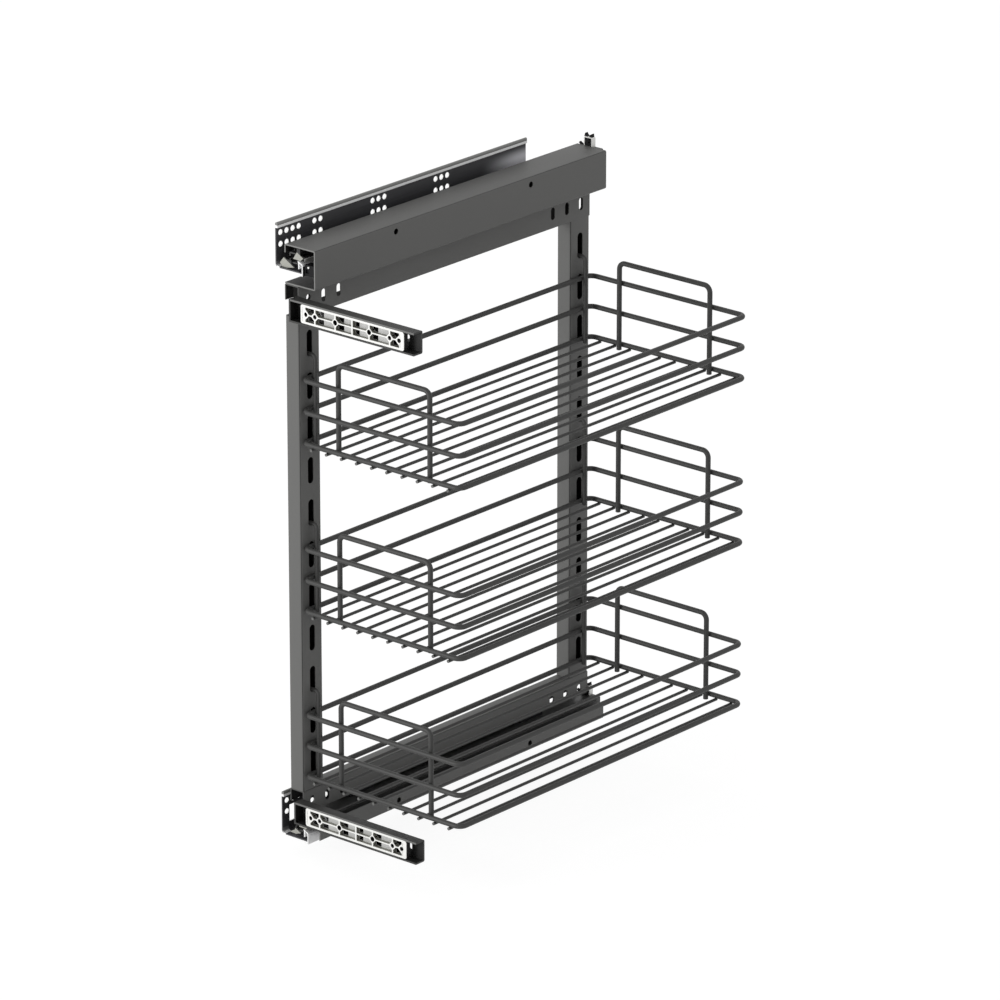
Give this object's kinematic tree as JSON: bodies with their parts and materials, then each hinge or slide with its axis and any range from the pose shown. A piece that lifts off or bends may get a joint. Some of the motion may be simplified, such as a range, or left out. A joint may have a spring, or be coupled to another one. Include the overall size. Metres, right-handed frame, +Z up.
{
  "type": "pull out larder unit",
  "caption": "Narrow kitchen larder unit that pulls out on roller runners fixed to one cabinet wall: a tall slotted metal frame with hooked wire baskets and brackets for the door",
  "frame": {"origin": "Axis of the first fixing hole of the lower runner, on the face that lies against the cabinet wall, 37 mm behind the cabinet's front edge", "axes": "+X from the cabinet's left wall into the cabinet, +Y from the door side to the back, +Z up"},
  "size_m": [0.2715, 0.5211, 0.733],
  "materials": {
    "graphite_coating": "satin graphite powder coat",
    "galvanised_steel": "smooth galvanised sheet",
    "bright_zinc": "bright zinc plating",
    "cast_zinc": "bright plated casting",
    "black_plastic": "fine matt moulding",
    "plain_steel": "turned and plated"
  },
  "bodies": {
    "wall_runners": {"upper_cabinet_profile": "galvanised_steel", "lower_cabinet_profile": "galvanised_steel", "upper_guide_strip": "bright_zinc", "lower_guide_strip": "bright_zinc"},
    "frame": {"upper_drawer_profile": "galvanised_steel", "lower_drawer_profile": "galvanised_steel", "upper_drawer_stop": "bright_zinc", "lower_drawer_stop": "bright_zinc", "upper_damper_housing": "black_plastic", "upper_damper": "plain_steel", "upper_damper_pin": "plain_steel", "upper_rear_bracket": "bright_zinc", "lower_rear_bracket": "bright_zinc", "upper_rear_hook": "black_plastic", "lower_rear_hook": "black_plastic", "cover_beam": "graphite_coating", "upper_rail": "graphite_coating", "post_tongues": "graphite_coating", "front_post": "graphite_coating", "back_post": "graphite_coating", "lower_rail": "graphite_coating", "rail_saddles": "black_plastic", "lower_cover": "graphite_coating", "upper_door_bracket": "graphite_coating", "lower_door_bracket": "graphite_coating", "bracket_angles": "graphite_coating", "bracket_screws": "plain_steel"},
    "upper_middle": {"upper_middle_profile": "galvanised_steel", "upper_middle_stop": "bright_zinc"},
    "upper_inner_cage_set": {"upper_inner_cage": "black_plastic", "upper_inner_rollers": "plain_steel"},
    "upper_outer_cage_set": {"upper_outer_cage": "black_plastic", "upper_outer_rollers": "plain_steel"},
    "lower_middle": {"lower_middle_profile": "galvanised_steel", "lower_middle_stop": "bright_zinc"},
    "lower_inner_cage_set": {"lower_inner_cage": "black_plastic", "lower_inner_rollers": "plain_steel"},
    "lower_outer_cage_set": {"lower_outer_cage": "black_plastic", "lower_outer_rollers": "plain_steel"},
    "upper_plate": {"upper_door_plate": "cast_zinc"},
    "lower_plate": {"lower_door_plate": "cast_zinc"},
    "top_basket": {"top_basket_upper_rail": "graphite_coating", "top_basket_middle_rail": "graphite_coating", "top_basket_floor_rail": "graphite_coating", "top_basket_hoops": "graphite_coating", "top_basket_floor_wires": "graphite_coating", "top_basket_hooks": "graphite_coating"},
    "middle_basket": {"middle_basket_upper_rail": "graphite_coating", "middle_basket_middle_rail": "graphite_coating", "middle_basket_floor_rail": "graphite_coating", "middle_basket_hoops": "graphite_coating", "middle_basket_floor_wires": "graphite_coating", "middle_basket_hooks": "graphite_coating"},
    "bottom_basket": {"bottom_basket_upper_rail": "graphite_coating", "bottom_basket_middle_rail": "graphite_coating", "bottom_basket_floor_rail": "graphite_coating", "bottom_basket_hoops": "graphite_coating", "bottom_basket_floor_wires": "graphite_coating", "bottom_basket_hooks": "graphite_coating"}
  },
  "joints": [
    {"name": "pull_out", "type": "slide", "parent": "wall_runners", "child": "frame", "axis": [0, -1, 0], "range_m": [0, 0.48]},
    {"name": "upper_middle_slide", "type": "slide", "parent": "wall_runners", "child": "upper_middle", "axis": [0, -1, 0], "range_m": [0, 0.24]},
    {"name": "upper_inner_cage_slide", "type": "slide", "parent": "wall_runners", "child": "upper_inner_cage_set", "axis": [0, -1, 0], "range_m": [0, 0.12]},
    {"name": "upper_outer_cage_slide", "type": "slide", "parent": "wall_runners", "child": "upper_outer_cage_set", "axis": [0, -1, 0], "range_m": [0, 0.36]},
    {"name": "lower_middle_slide", "type": "slide", "parent": "wall_runners", "child": "lower_middle", "axis": [0, -1, 0], "range_m": [0, 0.24]},
    {"name": "lower_inner_cage_slide", "type": "slide", "parent": "wall_runners", "child": "lower_inner_cage_set", "axis": [0, -1, 0], "range_m": [0, 0.12]},
    {"name": "lower_outer_cage_slide", "type": "slide", "parent": "wall_runners", "child": "lower_outer_cage_set", "axis": [0, -1, 0], "range_m": [0, 0.36]},
    {"name": "upper_plate_slide", "type": "slide", "parent": "frame", "child": "upper_plate", "axis": [1, 0, 0], "range_m": [-0.003, 0.003]},
    {"name": "lower_plate_slide", "type": "slide", "parent": "frame", "child": "lower_plate", "axis": [1, 0, 0], "range_m": [-0.003, 0.003]},
    {"name": "top_basket_lift", "type": "slide", "parent": "frame", "child": "top_basket", "axis": [0, 0, 1], "range_m": [0, 0.012]},
    {"name": "middle_basket_lift", "type": "slide", "parent": "frame", "child": "middle_basket", "axis": [0, 0, 1], "range_m": [0, 0.012]},
    {"name": "bottom_basket_lift", "type": "slide", "parent": "frame", "child": "bottom_basket", "axis": [0, 0, 1], "range_m": [0, 0.012]}
  ],
  "couplings": [
    {"joint": "upper_middle_slide", "follows": "pull_out", "ratio": 0.5},
    {"joint": "upper_inner_cage_slide", "follows": "pull_out", "ratio": 0.25},
    {"joint": "upper_outer_cage_slide", "follows": "pull_out", "ratio": 0.75},
    {"joint": "lower_middle_slide", "follows": "pull_out", "ratio": 0.5},
    {"joint": "lower_inner_cage_slide", "follows": "pull_out", "ratio": 0.25},
    {"joint": "lower_outer_cage_slide", "follows": "pull_out", "ratio": 0.75}
  ]
}
